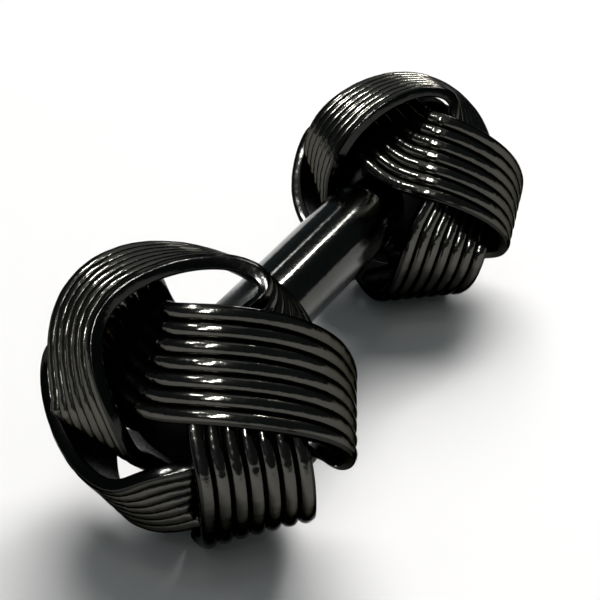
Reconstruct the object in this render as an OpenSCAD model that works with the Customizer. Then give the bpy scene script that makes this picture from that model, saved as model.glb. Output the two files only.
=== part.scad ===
// Knot cufflink: two woven balls of ribbed band on the ends of a round bar,
// lying on a flat surface with both balls touching it. Millimetres, +Z up.
// The large ball is at -X and the small ball at +X.

/* [Bar] */
// distance between the centres of the two knots
centre_distance = 20.6; // [19:0.1:24]
// diameter of the round bar
bar_diameter = 3.3; // [2.8:0.1:3.4]
// diameter of the bar's neck, where it enters the small knot
neck_diameter = 2.6; // [2:0.1:2.6]
// diameter of the round core inside each knot
core_diameter = 6.0; // [4.4:0.1:6.2]
// diameter of the domed cap that closes the outer end of the small knot
cap_diameter = 6.0; // [5.4:0.1:6.1]
// diameter of the pins that reach from a core to the bands
pin_diameter = 1.0; // [0.6:0.1:1.2]

/* [Bands] */
// width of the band of the large knot
band_width = 4.4; // [3.8:0.1:4.5]
// number of round ridges across a band
ridge_count = 7; // [5:1:8]
// height of a ridge above the valley beside it
ridge_height = 0.3; // [0.15:0.05:0.32]
// thickness of the band over the ridges
band_thickness = 0.62; // [0.5:0.02:0.62]

/* [Knots] */
// size of the small knot as a share of the large one
small_share = 0.86; // [0.82:0.01:0.88]

/* [Rest] */
// slope of the bar from the large knot down to the small one
bar_slope = 2.8; // [2.6:0.05:3]
// height of the bar's middle above the surface
rest_height = 5.78; // [5.7:0.005:5.85]

/* [Detail] */
// sections along one band
section_count = 76; // [48:4:80]
// flats on one ridge
ridge_flats = 3; // [2:1:3]
// sections round the bar
bar_facets = 96; // [32:8:128]

/* [Hidden] */
metal = [0.15, 0.16, 0.17];
// place of the bar's middle that brings the whole over the origin
middle_x = 1.26;
middle_y = 0.18;
// height of the outermost ridges at the rims, as a share of ridge_height
rim_share = 0.75;
// angle between two points of a core's or a cap's profile
arc_step = 7.5;
// the bar lies a little off the line between the knots
bar_aside = 0.35;
bar_lift = 0.1;
// where the bar narrows to its neck, and how long the slope there is
neck_start = 5.5;
neck_slope = 0.35;
// back, rim height and dome height of the cap, from the middle of the knot
cap_back = 2.2;
cap_rim = 0.2;
cap_dome = 0.65;
// gap between a pin and the back of the band it carries
pin_gap = 0.26;
// height of the mid surface under the top of the ridges
mid_depth = band_thickness * 0.55;

// Columns of the station tables: a row for each eighth of a loop.
AZIMUTH = 0; // angle round the bar, from -Y towards +Z
POLAR = 1;   // angle from the outer end of the bar's axis
RADIUS = 2;  // distance from the centre of the knot
LEAN = 3;    // turn of the band towards the pole about its own length

// The large knot. Rows run: middle, over, end loop, under, and again.
large_band_1 = [
    [85, 40, 5.2, 15],
    [40, 60, 6.2, 0],
    [-5, 98, 5.8, -15],
    [-45, 56, 4.0, 10],
    [-85, 38, 4.9, -5],
    [-135, 66, 5.6, 8],
    [-180, 101, 5.5, -15],
    [-235, 64, 4.3, 10]
];
large_band_2 = [
    [0, 47, 5.3, 5],
    [-45, 64, 5.8, 10],
    [-85, 98, 5.3, -5],
    [-145, 42, 4.0, 20],
    [-205, 38, 5.4, -5],
    [-240, 72, 6.1, -5],
    [-295, 98, 5.4, -30],
    [-325, 65, 4.5, 5]
];

// The small knot, before it is shrunk by small_share.
small_band_1 = [
    [65, 48, 5.3, 10],
    [30, 63, 5.8, -5],
    [-20, 96, 5.5, -10],
    [-80, 60, 4.3, 0],
    [-110, 48, 5.2, 5],
    [-150, 63, 5.8, 5],
    [-195, 105, 5.2, -5],
    [-255, 66, 4.3, 0]
];
small_band_2 = [
    [-15, 45, 5.5, 10],
    [-65, 61, 5.9, 0],
    [-110, 99, 5.5, -5],
    [-165, 63, 4.3, 0],
    [-200, 48, 5.2, 0],
    [-245, 63, 5.8, -10],
    [-290, 99, 5.2, -15],
    [-345, 65, 4.3, 0]
];

// Lobes of the cores towards gaps of the weave: place, then size.
LOBE = 3;    // radius of a lobe
large_lobes = [[-165, 55, 2.4, 1.1]];
small_lobes = [[90, 130, 2.9, 1.1], [165, 50, 2.4, 1.2]];
EIGHTH = 45;
QUARTER = 90;

// Stations of a small band at its real size.
function shrunk(stations) = [
    for (row = stations) [row[AZIMUTH], row[POLAR], row[RADIUS] * small_share, row[LEAN]]
];

// Unit vector at an azimuth and a polar angle; the pole is -X.
function direction(azimuth, polar) = [
    -cos(polar),
    -sin(polar) * cos(azimuth),
    sin(polar) * sin(azimuth)
];
function station_point(row) = row[RADIUS] * direction(row[AZIMUTH], row[POLAR]);
function unit(v) = v / norm(v);

// Weight of a station for a place "apart" degrees from it: smooth, periodic
// and nil at the seven other stations.
function weight(apart) =
    let (near = abs(sin(apart / 2)))
    near < 0.001 ? 1 : sin(4 * apart) * cos(apart / 2) / sin(apart / 2) / 8;
function blend(values, place) =
    let (terms = [for (i = [0:7]) weight(place - EIGHTH * i) * values[i]])
    terms[0] + terms[1] + terms[2] + terms[3] + terms[4] + terms[5] + terms[6] + terms[7];

// Outline of the ribbed band: [across, outward], ridges on the outer side.
// The outermost ridges end in an upright rim instead of a valley.
function ribbed_outline(width) =
    let (
        share = width / band_width,
        pitch = width / ridge_count,
        rise = ridge_height * share,
        valley = (mid_depth - ridge_height) * share,
        back = (mid_depth - band_thickness) * share
    )
    [
        for (ridge = [0:ridge_count - 1], flat = [0:ridge_flats - 1])
            let (angle = 180 * flat / ridge_flats)
            [
                -width / 2 + pitch * (ridge + 0.5 - cos(angle) / 2),
                valley + rise * (ridge + flat == 0 ? rim_share : sin(angle))
            ],
        [width / 2, valley + rise * rim_share],
        [width / 2, back],
        [-width / 2, back]
    ];

// One closed ribbed band along the loop through eight stations.
module woven_band(stations, width) {
    places = [for (i = [0:section_count - 1]) 360 * i / section_count];
    anchors = [for (row = stations) station_point(row)];
    leans = [for (row = stations) row[LEAN]];
    path = [for (place = places) blend(anchors, place)];
    outline = ribbed_outline(width);
    n = section_count;
    k = len(outline);
    points = [
        for (i = [0:n - 1])
            let (
                along = unit(path[(i + 1) % n] - path[(i + n - 1) % n]),
                radial = unit(path[i]),
                outward = unit(radial - (radial * along) * along),
                poleward = cross(along, outward),
                lean = blend(leans, places[i]),
                normal = outward * cos(lean) + poleward * sin(lean),
                across = poleward * cos(lean) - outward * sin(lean)
            )
            for (corner = outline) path[i] + across * corner[0] + normal * corner[1]
    ];
    faces = [
        for (i = [0:n - 1], j = [0:k - 1])
            let (
                a = i * k + j,
                b = i * k + (j + 1) % k,
                c = ((i + 1) % n) * k + (j + 1) % k,
                d = ((i + 1) % n) * k + j
            )
            for (face = [[a, c, b], [a, d, c]]) face
    ];
    polyhedron(points = points, faces = faces, convexity = 8);
}

// The cufflink as it lies: sloped and lifted onto the surface.
module at_rest() {
    translate([middle_x, middle_y, rest_height])
        rotate([0, bar_slope, 0])
            children();
}
module at_large_centre() {
    translate([-centre_distance / 2, 0, 0])
        children();
}
module at_small_centre() {
    translate([centre_distance / 2, 0, 0])
        children();
}

// Pin from the centre of a knot to the back of the band at a station.
module pin(station, share) {
    aim = direction(station[AZIMUTH], station[POLAR]);
    reach = station[RADIUS] - (band_thickness - mid_depth + pin_gap) * share;
    rotate([0, acos(aim[2]), atan2(aim[1], aim[0])])
        cylinder(h = reach, d = pin_diameter * share, $fn = bar_facets / 2);
}

// Ball whose profile has a corner at each arc_step.
module ball(radius) {
    rotate([0, QUARTER, 0])
        rotate_extrude($fn = bar_facets)
            polygon([for (angle = [0:arc_step:180]) radius * [sin(angle), -cos(angle)]]);
}

// Cast core in the middle of a knot: a ball with lobes.
module core(lobes) {
    ball(core_diameter / 2);
    for (lobe = lobes)
        translate(station_point(lobe))
            ball(lobe[LOBE]);
}

// Shaft from the large core to the small one, with its neck at the small one.
module shaft() {
    end = centre_distance / 2;
    radius = bar_diameter / 2;
    neck = neck_diameter / 2;
    translate([0, bar_aside, bar_lift])
        rotate([0, QUARTER, 0])
            rotate_extrude($fn = bar_facets)
                polygon([
                    [0, -end],
                    [radius, -end],
                    [radius, neck_start],
                    [neck, neck_start + neck_slope],
                    [neck, end],
                    [0, end]
                ]);
}

// Domed cap on the outer side of the small core.
module cap() {
    radius = cap_diameter / 2;
    rotate([0, QUARTER, 0])
        rotate_extrude($fn = bar_facets)
            polygon(concat(
                [[0, 0], [core_diameter / 2 * cos(EIGHTH), 0], [radius, cap_back]],
                [
                    for (angle = [0:arc_step:QUARTER])
                        [radius * cos(angle), cap_back + cap_rim + cap_dome * sin(angle)]
                ]
            ));
}

module large_knot_band_1() {
    color(metal)
        at_rest()
            at_large_centre()
                woven_band(large_band_1, band_width);
}

module large_knot_band_2() {
    color(metal)
        at_rest()
            at_large_centre()
                woven_band(large_band_2, band_width);
}

module small_knot_band_1() {
    color(metal)
        at_rest()
            at_small_centre()
                woven_band(shrunk(small_band_1), band_width * small_share);
}

module small_knot_band_2() {
    color(metal)
        at_rest()
            at_small_centre()
                woven_band(shrunk(small_band_2), band_width * small_share);
}

module bar() {
    color(metal)
        at_rest() {
            shaft();
            at_large_centre() {
                core(large_lobes);
                pin(large_band_1[3], 1);
                pin(large_band_1[7], 1);
                pin(large_band_2[7], 1);
            }
            at_small_centre() {
                core(small_lobes);
                cap();
                for (band = [small_band_1, small_band_2], i = [3, 7])
                    pin(shrunk(band)[i], small_share);
            }
        }
}

large_knot_band_1();
large_knot_band_2();
small_knot_band_1();
small_knot_band_2();
bar();
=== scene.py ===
"""Looks of a knot cufflink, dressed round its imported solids.

The woven bands are drawn again with smooth, finely cast ridges and rounded
rims, the bar with a turned surface, and each surface gets a dark plated metal
of its own. The forms are worked out in millimetres in the bar's own frame and
then laid, in metres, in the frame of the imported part.
"""

import logging
import math
from dataclasses import dataclass
from enum import Enum, IntEnum
from typing import Sequence, Union

import bpy
import numpy as np
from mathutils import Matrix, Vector


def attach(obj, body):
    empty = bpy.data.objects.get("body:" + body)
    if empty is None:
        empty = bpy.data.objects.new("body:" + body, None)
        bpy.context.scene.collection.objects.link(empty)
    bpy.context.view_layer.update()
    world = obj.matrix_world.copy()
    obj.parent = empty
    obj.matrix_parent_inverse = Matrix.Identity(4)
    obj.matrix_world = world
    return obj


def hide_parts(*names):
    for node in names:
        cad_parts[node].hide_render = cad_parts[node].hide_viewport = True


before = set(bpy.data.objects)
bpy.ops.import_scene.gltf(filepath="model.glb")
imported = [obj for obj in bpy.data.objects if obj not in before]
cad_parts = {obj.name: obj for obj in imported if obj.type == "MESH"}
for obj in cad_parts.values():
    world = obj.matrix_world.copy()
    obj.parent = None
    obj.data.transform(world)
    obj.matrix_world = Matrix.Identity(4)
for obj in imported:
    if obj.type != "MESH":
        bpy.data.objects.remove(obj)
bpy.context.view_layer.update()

LOG = logging.getLogger("cufflink")
MM = 0.001
Number = Union[int, float]
Operand = Union["Wire", Number]
Colour = tuple[float, float, float]
Place = tuple[float, float, float]


# Shader maths


class Wire:
    """A shader output that is used like a number in an expression."""

    def __init__(self, tree: bpy.types.NodeTree, socket: bpy.types.NodeSocket) -> None:
        """Wrap one output socket.

        Args:
            tree: The node tree that new Math nodes go into.
            socket: The output that carries the value.
        """
        self.tree = tree
        self.socket = socket

    def maths(self, operation: str, *operands: Operand) -> "Wire":
        """Add one Math node.

        Args:
            operation: The node's operation, such as MULTIPLY.
            operands: Its inputs in order, as numbers or wires.

        Returns:
            The node's result.
        """
        made = self.tree.nodes.new("ShaderNodeMath")
        made.operation = operation
        for place, operand in enumerate(operands):
            if isinstance(operand, Wire):
                self.tree.links.new(operand.socket, made.inputs[place])
            else:
                made.inputs[place].default_value = float(operand)
        return Wire(self.tree, made.outputs[0])

    def __add__(self, other: Operand) -> "Wire":
        """Return self + other."""
        return self.maths("ADD", self, other)

    def __radd__(self, other: Number) -> "Wire":
        """Return other + self."""
        return self.maths("ADD", other, self)

    def __sub__(self, other: Operand) -> "Wire":
        """Return self - other."""
        return self.maths("SUBTRACT", self, other)

    def __rsub__(self, other: Number) -> "Wire":
        """Return other - self."""
        return self.maths("SUBTRACT", other, self)

    def __mul__(self, other: Operand) -> "Wire":
        """Return self * other."""
        return self.maths("MULTIPLY", self, other)

    def __rmul__(self, other: Number) -> "Wire":
        """Return other * self."""
        return self.maths("MULTIPLY", other, self)

    def kept_within(self, low: float, high: float) -> "Wire":
        """Return the value held between two numbers."""
        return self.maths("MINIMUM", self.maths("MAXIMUM", self, low), high)


class Recipe:
    """A material's node tree, and the one way to add a node to it."""

    # Places of a Mix node's sockets for its share, its two colours and its mixed colour.
    MIX_SHARE = 0
    MIX_FIRST = 6
    MIX_SECOND = 7
    MIX_RESULT = 2
    # How strong the finer layers of a mottle are beside the coarse one.
    MOTTLE_ROUGHNESS = 0.55

    def __init__(self, name: str) -> None:
        """Start a material with a single metal shader.

        Args:
            name: The material's name.
        """
        self.material = bpy.data.materials.new(name)
        self.material.use_nodes = True
        self.tree = self.material.node_tree
        self.shader = self.tree.nodes["Principled BSDF"]

    def node(
        self,
        kind: str,
        settings: dict[str, object] | None = None,
        sockets: dict[Union[str, int], object] | None = None,
        result: Union[str, int] = 0,
    ) -> Wire:
        """Add any node.

        Args:
            kind: The node's type without its ShaderNode prefix.
            settings: Properties, which are set first.
            sockets: Input values or wires by socket name or place.
            result: The output that is handed back.

        Returns:
            The chosen output.
        """
        made = self.tree.nodes.new("ShaderNode" + kind)
        for key, value in (settings or {}).items():
            setattr(made, key, value)
        for key, value in (sockets or {}).items():
            self.feed(made.inputs[key], value)
        return Wire(self.tree, made.outputs[result])

    def feed(self, socket: bpy.types.NodeSocket, value: object) -> None:
        """Set a socket to a constant, or link a wire to it.

        Args:
            socket: The input.
            value: A wire, a number, a vector or a colour.
        """
        if isinstance(value, Wire):
            self.tree.links.new(value.socket, socket)
        else:
            socket.default_value = value

    def set(self, name: str, value: object) -> None:
        """Set or link one socket of the metal shader."""
        self.feed(self.shader.inputs[name], value)

    def measure(self, name: str) -> Wire:
        """Return a number stored on the mesh under a name."""
        return self.node("Attribute", {"attribute_name": name}, result="Fac")

    def blend(self, share: Wire, first: Colour, second: Colour) -> Wire:
        """Mix two colours.

        Args:
            share: How much of the second shows, from 0 to 1.
            first: The colour at 0.
            second: The colour at 1.

        Returns:
            The mixed colour.
        """
        sockets = {
            self.MIX_SHARE: share,
            self.MIX_FIRST: (*first, 1.0),
            self.MIX_SECOND: (*second, 1.0),
        }
        return self.node("Mix", {"data_type": "RGBA"}, sockets, self.MIX_RESULT)

    def mottle(self, size_mm: float, detail: float) -> Wire:
        """Add smooth noise that stays with the object.

        Args:
            size_mm: About how far across a patch is.
            detail: How many finer layers of noise it carries.

        Returns:
            The noise, from 0 to 1.
        """
        sockets = {
            "Vector": self.node("TexCoord", result="Object"),
            "Scale": 1.0 / (size_mm * MM),
            "Detail": detail,
            "Roughness": self.MOTTLE_ROUGHNESS,
        }
        return self.node("TexNoise", {"noise_dimensions": "3D"}, sockets)


# Finishes


@dataclass(frozen=True)
class Plating:
    """Dark polished plating over cast or turned metal.

    A crest is light and glossy, and a valley is dark and dull: the darker
    valley colour is painted shade, and the lighter crest is worn polish. A low
    crest mark on the bar darkens it as painted shade too. Edge is how much
    light the plating mirrors at a grazing angle.
    """

    name: str
    dark: Colour
    light: Colour
    gloss_roughness: float
    dull_roughness: float
    pit_size_mm: float
    pit_strength: float
    ripple_size_mm: float
    ripple_strength: float
    edge: float = 1.0
    cloud_size_mm: float = 2.2
    # How far the crest mark moves the colour: darker in the valleys as painted shade, lighter on worn
    # crests.
    crest_shade_and_wear: float = 0.65
    cloud_wear: float = 0.7
    shade_and_wear_start: float = 0.35
    valley_dullness: float = 0.6
    grain_dullness: float = 0.4
    ripple_depth: float = 0.1 * MM
    pit_depth: float = 0.02 * MM

    def material(self) -> bpy.types.Material:
        """Build the finish.

        Returns:
            The new material.
        """
        mix = Recipe(self.name)
        cloud = mix.mottle(self.cloud_size_mm, detail=4.0)
        grain = mix.mottle(self.pit_size_mm, detail=2.0)
        ripple = mix.mottle(self.ripple_size_mm, detail=1.0)
        crest = mix.measure("crest")
        # Colour: a low crest mark darkens the valleys, and the bar inside the large knot, as painted
        # shade; a high one lightens the worn crests; the cloud adds random tone.
        shade_and_wear = crest * self.crest_shade_and_wear + cloud * self.cloud_wear - self.shade_and_wear_start
        mix.set("Base Color", mix.blend(shade_and_wear.kept_within(0.0, 1.0), self.dark, self.light))
        mix.set("Metallic", 1.0)
        mix.set("Specular Tint", (self.edge, self.edge, self.edge, 1.0))
        dull = (1.0 - crest) * self.valley_dullness + grain * self.grain_dullness
        span = self.dull_roughness - self.gloss_roughness
        mix.set("Roughness", dull.kept_within(0.0, 1.0) * span + self.gloss_roughness)
        waves = {"Strength": self.ripple_strength, "Distance": self.ripple_depth, "Height": ripple}
        pits = {"Strength": self.pit_strength, "Distance": self.pit_depth, "Height": grain}
        pits["Normal"] = mix.node("Bump", sockets=waves)
        mix.set("Normal", mix.node("Bump", sockets=pits))
        return mix.material


class Finish(Enum):
    """The finishes of the cufflink."""

    # Its dark colour is painted shade, shown in the valleys between the ridges; its light colour shows
    # on the worn crests.
    RIDGES = Plating(
        name="cast_ridges",
        dark=(0.045, 0.044, 0.039),
        light=(0.088, 0.085, 0.075),
        gloss_roughness=0.12,
        dull_roughness=0.26,
        pit_size_mm=0.12,
        pit_strength=0.25,
        ripple_size_mm=0.5,
        ripple_strength=0.18,
        edge=0.18,
    )
    BACK = Plating(
        name="smooth_back",
        dark=(0.012, 0.013, 0.014),
        light=(0.022, 0.022, 0.022),
        gloss_roughness=0.24,
        dull_roughness=0.38,
        pit_size_mm=0.15,
        pit_strength=0.20,
        ripple_size_mm=0.9,
        ripple_strength=0.08,
        edge=0.25,
    )
    RIM = Plating(
        name="polished_rim",
        dark=(0.016, 0.016, 0.015),
        light=(0.030, 0.030, 0.028),
        gloss_roughness=0.12,
        dull_roughness=0.20,
        pit_size_mm=0.10,
        pit_strength=0.20,
        ripple_size_mm=0.4,
        ripple_strength=0.14,
        edge=0.3,
    )
    # Its dark colour is painted shade, shown where the shaft runs inside the large knot.
    BAR = Plating(
        name="turned_bar",
        dark=(0.010, 0.010, 0.010),
        light=(0.058, 0.058, 0.052),
        gloss_roughness=0.02,
        dull_roughness=0.45,
        pit_size_mm=0.10,
        pit_strength=0.15,
        ripple_size_mm=1.2,
        ripple_strength=0.05,
    )
    # Its very dark colour is painted shade for the inside of the knots; its high roughness is an
    # unpolished finish.
    CORE = Plating(
        name="dull_shaded_core",
        dark=(0.008, 0.008, 0.008),
        light=(0.016, 0.016, 0.015),
        gloss_roughness=0.40,
        dull_roughness=0.60,
        pit_size_mm=0.12,
        pit_strength=0.25,
        ripple_size_mm=0.8,
        ripple_strength=0.10,
        edge=0.2,
    )


class BandSide(IntEnum):
    """The surfaces of a band, in the order of its materials."""

    RIDGES = 0
    BACK = 1
    RIM = 2


class BarSide(IntEnum):
    """The surfaces of the bar, in the order of its materials."""

    POLISHED = 0
    DULL_SHADED = 1


# Metal pieces


def unit(rows: np.ndarray) -> np.ndarray:
    """Return each row at length one."""
    return rows / np.linalg.norm(rows, axis=1, keepdims=True)


def metal_mesh(
    name: str,
    points: np.ndarray,
    faces: np.ndarray,
    crest: np.ndarray,
    sides: np.ndarray,
    sharp_angle: float,
) -> bpy.types.Mesh:
    """Make a smooth mesh that carries the marks its finishes read.

    Args:
        name: The mesh's name.
        points: Places in metres.
        faces: The four corners of each face.
        crest: How near each point is to a crest, or how polished it is, from 0 to 1; a low value also
            darkens the colour as painted shade.
        sides: Which of the mesh's materials each face gets.
        sharp_angle: The bend in degrees from which an edge stays sharp.

    Returns:
        The new mesh, without its materials.
    """
    mesh = bpy.data.meshes.new(name)
    mesh.from_pydata(points.tolist(), [], faces.tolist())
    mesh.update()
    mark = mesh.attributes.new("crest", "FLOAT", "POINT")
    mark.data.foreach_set("value", crest.astype(np.float32))
    mesh.polygons.foreach_set("material_index", sides.astype(np.int32))
    mesh.polygons.foreach_set("use_smooth", np.ones(len(faces), dtype=bool))
    mesh.set_sharp_from_angle(angle=math.radians(sharp_angle))
    return mesh


def put_in_place(mesh: bpy.types.Mesh, node: str) -> bpy.types.Object:
    """Put a mesh in the scene in place of a solid.

    Args:
        mesh: The dressed mesh.
        node: The solid's node.

    Returns:
        The new object, which has the mesh's name.
    """
    piece = bpy.data.objects.new(mesh.name, mesh)
    bpy.context.scene.collection.objects.link(piece)
    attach(piece, "root")
    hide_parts(node)
    return piece


# Woven bands


@dataclass(frozen=True)
class Station:
    """A place about a knot's centre, and how far a band leans there.

    The radius is in millimetres. The angles are in degrees: azimuth goes round
    the bar from -Y towards +Z, and polar starts at -X.
    """

    azimuth: float
    polar: float
    radius: float
    lean: float

    def point(self) -> np.ndarray:
        """Return the place of the band's middle in millimetres; the pole is -X."""
        around, down = math.radians(self.azimuth), math.radians(self.polar)
        return self.radius * np.array(
            [-math.cos(down), -math.sin(down) * math.cos(around), math.sin(down) * math.sin(around)]
        )


@dataclass(frozen=True)
class Loop:
    """A closed band's path through an even number of stations.

    A place is at a station where the sine of half the angle between them is
    under at_station.
    """

    stations: tuple[Station, ...]
    at_station: float = 0.001

    def weight(self, away: np.ndarray) -> np.ndarray:
        """Work out the share of a station: smooth, periodic and nil at the other stations.

        Args:
            away: How many degrees round the loop each place is from the station.

        Returns:
            The share at each place.
        """
        count = len(self.stations)
        half = np.radians(away) / 2
        near = np.abs(np.sin(half)) < self.at_station
        safe = np.where(near, 1.0, np.sin(half))
        value = np.sin(np.radians(count / 2 * away)) * np.cos(half) / safe / count
        return np.where(near, 1.0, value)

    def blended(self, values: np.ndarray, places: np.ndarray) -> np.ndarray:
        """Carry station values smoothly round the loop.

        Args:
            values: One row for each station.
            places: Degrees round the loop.

        Returns:
            One row for each place.
        """
        count = len(self.stations)
        weights = [self.weight(places - 360 / count * i) for i in range(count)]
        return np.stack(weights, axis=1) @ values

    def frames(self, sections: int, share: float) -> tuple[np.ndarray, np.ndarray, np.ndarray]:
        """Place sections along the loop.

        Args:
            sections: How many there are.
            share: The size of the knot as a share of the large one.

        Returns:
            Middles, directions across the band and directions out of it.
        """
        places = np.arange(sections) * 360.0 / sections
        path = self.blended(np.array([s.point() for s in self.stations]), places) * share
        lean = np.radians(self.blended(np.array([[s.lean] for s in self.stations]), places))
        along = unit(np.roll(path, -1, axis=0) - np.roll(path, 1, axis=0))
        radial = unit(path)
        outward = unit(radial - np.sum(radial * along, axis=1, keepdims=True) * along)
        poleward = np.cross(along, outward)
        normal = outward * np.cos(lean) + poleward * np.sin(lean)
        across = poleward * np.cos(lean) - outward * np.sin(lean)
        return path, across, normal


@dataclass(frozen=True)
class Rest:
    """How the cufflink lies on the surface, in millimetres and degrees."""

    middle: Place = (1.26, 0.18, 5.78)
    slope: float = 2.8

    def laid(self, points: np.ndarray) -> np.ndarray:
        """Move points to where they lie.

        Args:
            points: Places in the bar's frame, in millimetres.

        Returns:
            The same places in the part's frame, in metres.
        """
        tip = math.radians(self.slope)
        turn = np.array(
            [[math.cos(tip), 0, math.sin(tip)], [0, 1, 0], [-math.sin(tip), 0, math.cos(tip)]]
        )
        return (points @ turn.T + np.array(self.middle)) * MM


@dataclass(frozen=True)
class RibbedSection:
    """The outline of the cast band, in millimetres."""

    width: float = 4.4
    ridges: int = 7
    ridge_height: float = 0.3
    rim_share: float = 0.75
    thickness: float = 0.62
    mid_depth: float = 0.341
    edge_radius: float = 0.1
    edge_angles: tuple[int, ...] = (0, 30, 60, 90)
    ridge_steps: int = 10
    rim_crest: float = 0.9

    def rise(self, ridge: int, step: int) -> float:
        """Work out the height over the valley at a step of a ridge, crest = 1.

        Args:
            ridge: The ridge's number from one rim.
            step: The step across it.

        Returns:
            The height, which stays up towards a rim.
        """
        plain = math.sin(math.pi * step / self.ridge_steps)
        first_half = 2 * step <= self.ridge_steps
        to_rim = (ridge == 0 and first_half) or (ridge == self.ridges - 1 and not first_half)
        return max(self.rim_share, plain) if to_rim else plain

    def rim(self, side: int) -> list[tuple[float, float]]:
        """Trace one upright rim with its two rounded edges.

        Args:
            side: 1 for the rim after the last ridge, -1 for the other.

        Returns:
            Corners as (across, outward), from top to bottom.
        """
        r, half = self.edge_radius, self.width / 2
        top = self.mid_depth - self.ridge_height * (1 - self.rim_share)
        back = self.mid_depth - self.thickness
        turns = [math.radians(angle) for angle in self.edge_angles]
        upper = [(side * (half - r + r * math.sin(t)), top - r + r * math.cos(t)) for t in turns]
        lower = [(side * (half - r + r * math.cos(t)), back + r - r * math.sin(t)) for t in turns]
        return upper + lower

    def outline(self) -> tuple[np.ndarray, np.ndarray, np.ndarray]:
        """Trace the outline once round: the ridges, then a rim, the back and the other rim.

        Returns:
            Corners as [across, outward], how near each is to a crest, and
            the ridge each belongs to.
        """
        pitch = self.width / self.ridges
        valley = self.mid_depth - self.ridge_height
        corners, crest, ridge_of = [], [], []
        for ridge in range(self.ridges):
            for step in range(self.ridge_steps):
                spread = math.cos(math.pi * step / self.ridge_steps) / 2
                across = pitch * (ridge + 0.5 - spread) - self.width / 2
                if abs(across) > self.width / 2 - self.edge_radius:
                    continue
                rise = self.rise(ridge, step)
                corners.append((across, valley + self.ridge_height * rise))
                crest.append(rise)
                ridge_of.append(ridge)
        walls = self.rim(1) + self.rim(-1)[::-1]
        corners += walls
        crest += [self.rim_crest] * len(walls)
        ridge_of += [self.ridges] * len(walls)
        return np.array(corners), np.array(crest), np.array(ridge_of)

    def sides(self, ridge_of: np.ndarray) -> np.ndarray:
        """Tell the surface that starts at each corner of the outline.

        Args:
            ridge_of: The ridge each corner belongs to.

        Returns:
            A BandSide for each corner.
        """
        ribbed = int(np.sum(ridge_of < self.ridges))
        side = np.where(np.arange(len(ridge_of)) < ribbed - 1, BandSide.RIDGES, BandSide.RIM)
        side[ribbed + len(self.rim(1)) - 1] = BandSide.BACK
        return side


@dataclass(frozen=True)
class Ripple:
    """One wave of the hand-finished unevenness along the ridges, in millimetres."""

    waves_round: int
    shift_share: float
    height: float

    def at(self, turn: np.ndarray, shift: np.ndarray) -> np.ndarray:
        """Return its height at turns of the loop in radians, where each ridge has its own shift."""
        return np.sin(turn * self.waves_round + self.shift_share * shift) * self.height


@dataclass(frozen=True)
class Lobe:
    """A round lobe of a core, towards a gap of the weave."""

    place: Station
    radius: float


@dataclass(frozen=True)
class WovenKnot:
    """A ball woven from two ribbed bands.

    Share is its size as a share of the large one's. Pinned names a band and one
    of its stations for each pin. From ridge to ridge a ripple shifts by
    ridge_shift radians times its own shift share.
    """

    name: str
    centre_along: float
    share: float
    loops: tuple[Loop, Loop]
    pinned: tuple[tuple[int, int], ...]
    lobes: tuple[Lobe, ...]
    section: RibbedSection = RibbedSection()
    rest: Rest = Rest()
    sections_round: int = 600
    ripples: tuple[Ripple, ...] = (
        Ripple(31, 1.0, 0.004),
        Ripple(53, 1.7, 0.003),
        Ripple(97, 2.9, 0.0015),
    )
    ridge_shift: float = 2.4
    sharp_angle: float = 48

    def unevenness(self, crest: np.ndarray, ridge_of: np.ndarray) -> np.ndarray:
        """Work out how far each corner of each section stands proud, most on the crests.

        Args:
            crest: How near each corner is to a crest.
            ridge_of: The ridge each corner belongs to.

        Returns:
            Millimetres, a row for each section; none on the rims and the back.
        """
        turn = 2 * math.pi * (np.arange(self.sections_round) / self.sections_round)[:, None]
        shift = ridge_of[None, :] * self.ridge_shift
        wave = sum(ripple.at(turn, shift) for ripple in self.ripples) * crest[None, :] ** 2
        return np.where(ridge_of[None, :] < self.section.ridges, wave, 0.0)

    def band_mesh(self, loop: Loop, name: str) -> bpy.types.Mesh:
        """Sweep the ribbed outline round one loop.

        Args:
            loop: The band's path.
            name: The mesh's name.

        Returns:
            The closed mesh, with crest and material marks on it.
        """
        corners, crest, ridge_of = self.section.outline()
        count, k = self.sections_round, len(corners)
        path, across, normal = loop.frames(count, self.share)
        out = (corners[None, :, 1] + self.unevenness(crest, ridge_of)) * self.share
        points = (
            path[:, None, :]
            + across[:, None, :] * (corners[None, :, 0:1] * self.share)
            + normal[:, None, :] * out[:, :, None]
        )
        points = self.rest.laid(points.reshape(-1, 3) + np.array([self.centre_along, 0, 0]))
        i, j = np.meshgrid(np.arange(count), np.arange(k), indexing="ij")
        right, up = (j + 1) % k, (i + 1) % count
        faces = np.stack([i * k + j, up * k + j, up * k + right, i * k + right], axis=-1)
        crests = np.tile(crest, count)
        sides = np.tile(self.section.sides(ridge_of), count)
        return metal_mesh(name, points, faces.reshape(-1, 4), crests, sides, self.sharp_angle)

    def build(self) -> list[bpy.types.Object]:
        """Make both bands in place of their solids.

        Returns:
            The two new objects.
        """
        made = []
        metals = [finish.value.material() for finish in (Finish.RIDGES, Finish.BACK, Finish.RIM)]
        for number, loop in enumerate(self.loops, start=1):
            node = f"{self.name}_band_{number}"
            mesh = self.band_mesh(loop, node + "_cast")
            for metal in metals:
                mesh.materials.append(metal)
            made.append(put_in_place(mesh, node))
        return made


# The bar


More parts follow.
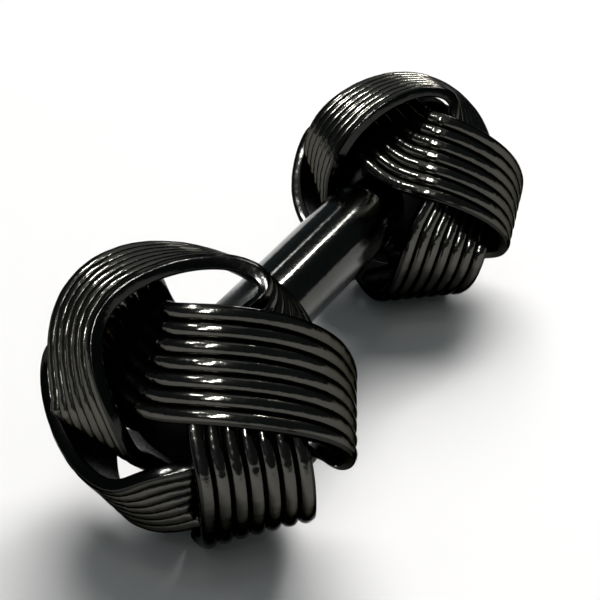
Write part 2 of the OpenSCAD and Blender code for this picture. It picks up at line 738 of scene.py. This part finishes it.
@dataclass(frozen=True)
class TurnedForm:
    """An outline turned about a line that runs along the bar.

    It is dull and darkened, as painted shade, up to the start of
    polish_and_shade_fade and polished past the end of it. The default lies
    beyond the bar. No point comes nearer to the line than the pole radius.
    """

    outline: np.ndarray
    side: BarSide
    aside: float = 0.0
    lift: float = 0.0
    polish_and_shade_fade: tuple[float, float] = (99.0, 100.0)
    pole_radius: float = 0.001

    def shine_and_shade(self, around: int) -> np.ndarray:
        """Return how polished each point is, and how little painted shade it carries: 0 up to where
        polish_and_shade_fade starts, 1 past its end.
        """
        start, end = self.polish_and_shade_fade
        return np.repeat(np.clip((self.outline[:, 1] - start) / (end - start), 0.0, 1.0), around)

    def faces(self, around: int) -> tuple[np.ndarray, np.ndarray]:
        """Turn the outline.

        Args:
            around: The number of sections round the line.

        Returns:
            Points in millimetres and four-cornered faces.
        """
        rows, turn = len(self.outline), np.arange(around) * 2 * math.pi / around
        radius = np.maximum(self.outline[:, 0:1], self.pole_radius)
        along = np.repeat(self.outline[:, 1:2], around, axis=1)
        points = np.stack(
            [along, radius * np.cos(turn) + self.aside, radius * np.sin(turn) + self.lift], axis=-1
        )
        i, j = np.meshgrid(np.arange(rows - 1), np.arange(around), indexing="ij")
        right = (j + 1) % around
        corners = [i * around + j, (i + 1) * around + j, (i + 1) * around + right, i * around + right]
        return points.reshape(-1, 3), np.stack(corners, axis=-1).reshape(-1, 4)


@dataclass(frozen=True)
class TurnedBar:
    """The rigid bar between the knots, with a round core in each of them.

    Sizes are in millimetres. Places along the bar are measured from its middle,
    and the cap's from the centre of the small knot.
    """

    knots: tuple[WovenKnot, WovenKnot]
    half_length: float = 10.3
    radius: float = 1.65
    neck_radius: float = 1.3
    neck_start: float = 5.5
    neck_slope: float = 0.35
    neck_edge: float = 0.1
    neck_edge_drop: float = 0.03
    # Along the shaft, from the first place to the second, the metal turns from dull and dark, painted
    # shade inside the large knot, to polished.
    shine_and_shade_fade: tuple[float, float] = (-6.3, -4.4)
    aside: float = 0.35
    lift: float = 0.1
    core_radius: float = 3.0
    cap_start_angle: float = 45
    cap_back: float = 2.2
    cap_rim: float = 0.2
    cap_dome: float = 0.65
    pin_radius: float = 0.5
    pin_gap: float = 0.26
    pin_root: float = 0.1
    pin_around: int = 24
    around: int = 128
    shaft_rows: int = 90
    neck_rows: int = 20
    ball_rows: int = 61
    dome_rows: int = 25
    sharp_angle: float = 40
    rest: Rest = Rest()
    node: str = "bar"

    def shaft(self) -> TurnedForm:
        """Draw the shaft, dull and darkened as painted shade inside the large knot, and with its neck
        in the small one.

        Returns:
            The shaft's outline.
        """
        edge = self.neck_start - self.neck_edge
        body = [(self.radius, along) for along in np.linspace(-self.half_length, edge, self.shaft_rows)]
        body += [(self.radius - self.neck_edge_drop, self.neck_start)]
        slope_end = self.neck_start + self.neck_slope
        neck = np.linspace(slope_end, self.half_length, self.neck_rows)
        body += [(self.neck_radius, along) for along in neck]
        return TurnedForm(np.array(body), BarSide.POLISHED, self.aside, self.lift, self.shine_and_shade_fade)

    def ball(self, radius: float, centre: Sequence[float]) -> TurnedForm:
        """Draw a dull ball, dark as painted shade.

        Args:
            radius: Its radius.
            centre: How far along, aside and up from the bar's middle it is.

        Returns:
            The ball's outline.
        """
        arc = np.linspace(0.0, math.pi, self.ball_rows)
        outline = radius * np.stack([np.sin(arc), -np.cos(arc)], axis=1)
        return TurnedForm(outline + np.array([0.0, centre[0]]), BarSide.DULL_SHADED, centre[1], centre[2])

    def core(self, knot: WovenKnot) -> list[TurnedForm]:
        """Draw a knot's core.

        Args:
            knot: The knot the core is in.

        Returns:
            The core's ball and its lobes.
        """
        middle = np.array([knot.centre_along, 0.0, 0.0])
        lobes = [self.ball(lobe.radius, middle + lobe.place.point()) for lobe in knot.lobes]
        return [self.ball(self.core_radius, middle), *lobes]

    def cap(self) -> list[TurnedForm]:
        """Draw the cap at the outer end of the small core.

        Returns:
            Its dull back and its polished dome.
        """
        start = self.core_radius * math.cos(math.radians(self.cap_start_angle))
        back = np.array([(start, 0.0), (self.core_radius, self.cap_back)])
        arc = np.linspace(0.0, math.pi / 2, self.dome_rows)
        dome = np.stack([self.core_radius * np.cos(arc), self.cap_dome * np.sin(arc)], axis=1)
        dome[:, 1] += self.cap_back + self.cap_rim
        dome = np.concatenate([back[1:], dome])
        middle = np.array([0.0, self.half_length])
        polished = TurnedForm(dome + middle, BarSide.POLISHED, polish_and_shade_fade=self.shine_and_shade_fade)
        return [TurnedForm(back + middle, BarSide.DULL_SHADED), polished]

    def pin(self, knot: WovenKnot, station: Station) -> tuple[np.ndarray, np.ndarray]:
        """Stand one pin between a core and the band it carries.

        Args:
            knot: The knot the pin is in.
            station: The station of the band that it points at.

        Returns:
            Points and four-cornered faces, open at both hidden ends.
        """
        aim = station.point() / station.radius
        back = knot.section.thickness - knot.section.mid_depth + self.pin_gap
        reach = (station.radius - back) * knot.share
        side = unit(np.cross(aim, np.array([0.0, 0.0, 1.0]))[None])[0]
        other = np.cross(aim, side)
        n = self.pin_around
        turn = np.arange(n) * 2 * math.pi / n
        ring = np.cos(turn)[:, None] * side + np.sin(turn)[:, None] * other
        ring = ring * self.pin_radius * knot.share + np.array([knot.centre_along, 0.0, 0.0])
        points = np.concatenate([ring + aim * reach, ring + aim * (self.core_radius - self.pin_root)])
        j = np.arange(n)
        right = (j + 1) % n
        return points, np.stack([j, right, n + right, n + j], axis=-1)

    def mesh(self, name: str) -> bpy.types.Mesh:
        """Join the turned forms and the pins.

        Args:
            name: The mesh's name.

        Returns:
            The mesh, with polish and material marks on it.
        """
        forms = [self.shaft(), *self.cap()]
        for knot in self.knots:
            forms += self.core(knot)
        parts = [(*form.faces(self.around), form.shine_and_shade(self.around), form.side) for form in forms]
        for knot in self.knots:
            for loop, station in knot.pinned:
                ends, sleeve = self.pin(knot, knot.loops[loop].stations[station])
                parts.append((ends, sleeve, np.zeros(len(ends)), BarSide.DULL_SHADED))
        points, faces = np.empty((0, 3)), np.empty((0, 4), dtype=int)
        shine_and_shade, sides = np.empty(0), np.empty(0, dtype=int)
        for more_points, more_faces, more_shine_and_shade, side in parts:
            faces = np.concatenate([faces, more_faces + len(points)])
            points = np.concatenate([points, more_points])
            shine_and_shade = np.concatenate([shine_and_shade, more_shine_and_shade])
            sides = np.concatenate([sides, np.full(len(more_faces), side)])
        return metal_mesh(name, self.rest.laid(points), faces, shine_and_shade, sides, self.sharp_angle)

    def build(self) -> bpy.types.Object:
        """Make the bar in place of its solid.

        Returns:
            The bar's object.
        """
        mesh = self.mesh(self.node + "_turned")
        for finish in (Finish.BAR, Finish.CORE):
            mesh.materials.append(finish.value.material())
        return put_in_place(mesh, self.node)


# Studio


@dataclass(frozen=True)
class SoftBox:
    """A rectangular lamp that looks at the cufflink.

    Angles are in degrees and sizes in metres. A mirrored box shows in the
    metal, and a cast one lights the table top.
    """

    name: str
    azimuth: float
    elevation: float
    distance: float
    width: float
    height: float
    watts: float
    colour: Colour = (1.0, 1.0, 1.0)
    mirrored: bool = True
    cast: bool = False
    aim_height: float = 0.006

    def place(self) -> bpy.types.Object:
        """Hang the lamp in the scene.

        Returns:
            The lamp's object.
        """
        lamp = bpy.data.lights.new(self.name, "AREA")
        lamp.shape = "RECTANGLE"
        lamp.size, lamp.size_y = self.width, self.height
        lamp.energy = self.watts
        lamp.color = self.colour
        lit = bpy.data.objects.new(self.name, lamp)
        around, up = math.radians(self.azimuth), math.radians(self.elevation)
        aim = Vector((math.cos(up) * math.cos(around), math.cos(up) * math.sin(around), math.sin(up)))
        lit.location = aim * self.distance + Vector((0, 0, self.aim_height))
        lit.rotation_euler = aim.to_track_quat("Z", "Y").to_euler()
        lit.visible_glossy = self.mirrored
        lit.visible_diffuse = self.cast
        bpy.context.scene.collection.objects.link(lit)
        return lit


@dataclass(frozen=True)
class Studio:
    """The pale table, the lamps and the camera.

    The camera's places, lens and sensor are in millimetres. The floor's size and
    the nearest and farthest distance that the camera sees are in metres.
    """

    boxes: tuple[SoftBox, ...]
    floor_size: float = 3.0
    floor_patch_mm: float = 60.0
    floor_dark: Colour = (0.80, 0.80, 0.80)
    floor_light: Colour = (0.84, 0.84, 0.84)
    floor_roughness: float = 0.7
    sky: Colour = (0.050, 0.064, 0.069)
    camera_from_large_knot: Place = (-71.7, -37.8, 53.0)
    large_knot: Place = (-9.03, 0.18, 6.28)
    aim: Place = (-0.5, 0.0, 5.6)
    lens: float = 150.0
    sensor: float = 36.0
    nearest: float = 0.005
    farthest: float = 20.0

    def lay_floor(self) -> bpy.types.Object:
        """Lay the table top.

        Returns:
            The floor's object.
        """
        half = self.floor_size / 2
        mesh = bpy.data.meshes.new("table_top")
        mesh.from_pydata(
            [(-half, -half, 0), (half, -half, 0), (half, half, 0), (-half, half, 0)],
            [],
            [(0, 1, 2, 3)],
        )
        recipe = Recipe("pale_table")
        cloud = recipe.mottle(self.floor_patch_mm, detail=3.0)
        recipe.set("Base Color", recipe.blend(cloud, self.floor_dark, self.floor_light))
        recipe.set("Roughness", self.floor_roughness)
        mesh.materials.append(recipe.material)
        floor = bpy.data.objects.new("table_top", mesh)
        bpy.context.scene.collection.objects.link(floor)
        return floor

    def light(self) -> None:
        """Hang the lamps and set the dim room round them."""
        for box in self.boxes:
            box.place()
        world = bpy.data.worlds.new("dim_room")
        world.use_nodes = True
        room = world.node_tree.nodes["Background"]
        room.inputs["Color"].default_value = (*self.sky, 1.0)
        room.inputs["Strength"].default_value = 1.0
        bpy.context.scene.world = world

    def stand_camera(self) -> bpy.types.Object:
        """Stand the camera where it looks down at the large knot.

        Returns:
            The camera's object.
        """
        lens = bpy.data.cameras.new("viewer")
        lens.sensor_width = self.sensor
        lens.lens = self.lens
        lens.clip_start = self.nearest
        lens.clip_end = self.farthest
        camera = bpy.data.objects.new("viewer", lens)
        where = (Vector(self.large_knot) + Vector(self.camera_from_large_knot)) * MM
        camera.location = where
        camera.rotation_euler = (Vector(self.aim) * MM - where).to_track_quat("-Z", "Y").to_euler()
        bpy.context.scene.collection.objects.link(camera)
        bpy.context.scene.camera = camera
        return camera

    def build(self) -> None:
        """Set up the whole studio."""
        self.lay_floor()
        self.light()
        self.stand_camera()
        bpy.context.scene.view_settings.view_transform = "Standard"


# The cufflink

# Each band's stations, in the order middle, over, end loop, under, and again. The columns are
# azimuth, polar, radius and lean.
LARGE_LOOPS = (
    Loop(
        (
            Station(85, 40, 5.2, 15),
            Station(40, 60, 6.2, 0),
            Station(-5, 98, 5.8, -15),
            Station(-45, 56, 4.0, 10),
            Station(-85, 38, 4.9, -5),
            Station(-135, 66, 5.6, 8),
            Station(-180, 101, 5.5, -15),
            Station(-235, 64, 4.3, 10),
        )
    ),
    Loop(
        (
            Station(0, 47, 5.3, 5),
            Station(-45, 64, 5.8, 10),
            Station(-85, 98, 5.3, -5),
            Station(-145, 42, 4.0, 20),
            Station(-205, 38, 5.4, -5),
            Station(-240, 72, 6.1, -5),
            Station(-295, 98, 5.4, -30),
            Station(-325, 65, 4.5, 5),
        )
    ),
)
SMALL_LOOPS = (
    Loop(
        (
            Station(65, 48, 5.3, 10),
            Station(30, 63, 5.8, -5),
            Station(-20, 96, 5.5, -10),
            Station(-80, 60, 4.3, 0),
            Station(-110, 48, 5.2, 5),
            Station(-150, 63, 5.8, 5),
            Station(-195, 105, 5.2, -5),
            Station(-255, 66, 4.3, 0),
        )
    ),
    Loop(
        (
            Station(-15, 45, 5.5, 10),
            Station(-65, 61, 5.9, 0),
            Station(-110, 99, 5.5, -5),
            Station(-165, 63, 4.3, 0),
            Station(-200, 48, 5.2, 0),
            Station(-245, 63, 5.8, -10),
            Station(-290, 99, 5.2, -15),
            Station(-345, 65, 4.3, 0),
        )
    ),
)
# Where the pins go: a band, then its station, both counted from 0. A pin carries a band where it
# runs under the other one.
LARGE_PINS = ((0, 3), (0, 7), (1, 7))
SMALL_PINS = ((0, 3), (0, 7), (1, 3), (1, 7))
LARGE_LOBES = (Lobe(Station(-165, 55, 2.4, 0), 1.1),)
SMALL_LOBES = (Lobe(Station(90, 130, 2.9, 0), 1.1), Lobe(Station(165, 50, 2.4, 0), 1.2))
HALF_CENTRES = 10.3
SMALL_SHARE = 0.86

WARM = (1.0, 0.98, 0.965)
COOL = (0.93, 1.0, 1.0)
# The columns are name, azimuth, elevation, distance, width, height and watts. All but the last
# two boxes only show in the metal, and the last two only light the table top.
SOFT_BOXES = (
    SoftBox("window", -7.0, 42.0, 1.0, 0.045, 0.32, 8.5),
    SoftBox("second_window", 21.0, 36.0, 1.0, 0.04, 0.30, 0.5),
    SoftBox("third_window", 1.0, 50.0, 1.0, 0.07, 0.09, 3.0),
    SoftBox("side", 120.0, 60.0, 1.0, 0.09, 0.14, 6.2),
    SoftBox("front", -174.0, 50.0, 1.0, 0.10, 0.13, 8.0),
    SoftBox("low_front", -180.0, 35.0, 1.0, 0.09, 0.09, 7.0),
    SoftBox("high_front", -170.0, 70.0, 1.0, 0.08, 0.08, 6.0),
    SoftBox("room", 28.0, 65.0, 1.4, 1.4, 1.4, 2.8, COOL),
    SoftBox("diffuser", 10.0, 55.0, 1.0, 0.8, 0.8, 14.8, WARM, mirrored=False, cast=True),
    SoftBox("front_fill", 215.0, 50.0, 1.2, 1.2, 1.2, 1.2, WARM, mirrored=False, cast=True),
)


def main() -> None:
    """Build, dress, light and report the cufflink."""
    logging.basicConfig(level=logging.INFO, format="%(name)s %(message)s")
    large = WovenKnot("large_knot", -HALF_CENTRES, 1.0, LARGE_LOOPS, LARGE_PINS, LARGE_LOBES)
    small = WovenKnot("small_knot", HALF_CENTRES, SMALL_SHARE, SMALL_LOOPS, SMALL_PINS, SMALL_LOBES)
    bar = TurnedBar((large, small), HALF_CENTRES)
    for piece in (*large.build(), *small.build(), bar.build()):
        LOG.info("%s: %d faces", piece.name, len(piece.data.polygons))
    Studio(SOFT_BOXES).build()


if __name__ == "__main__":
    main()
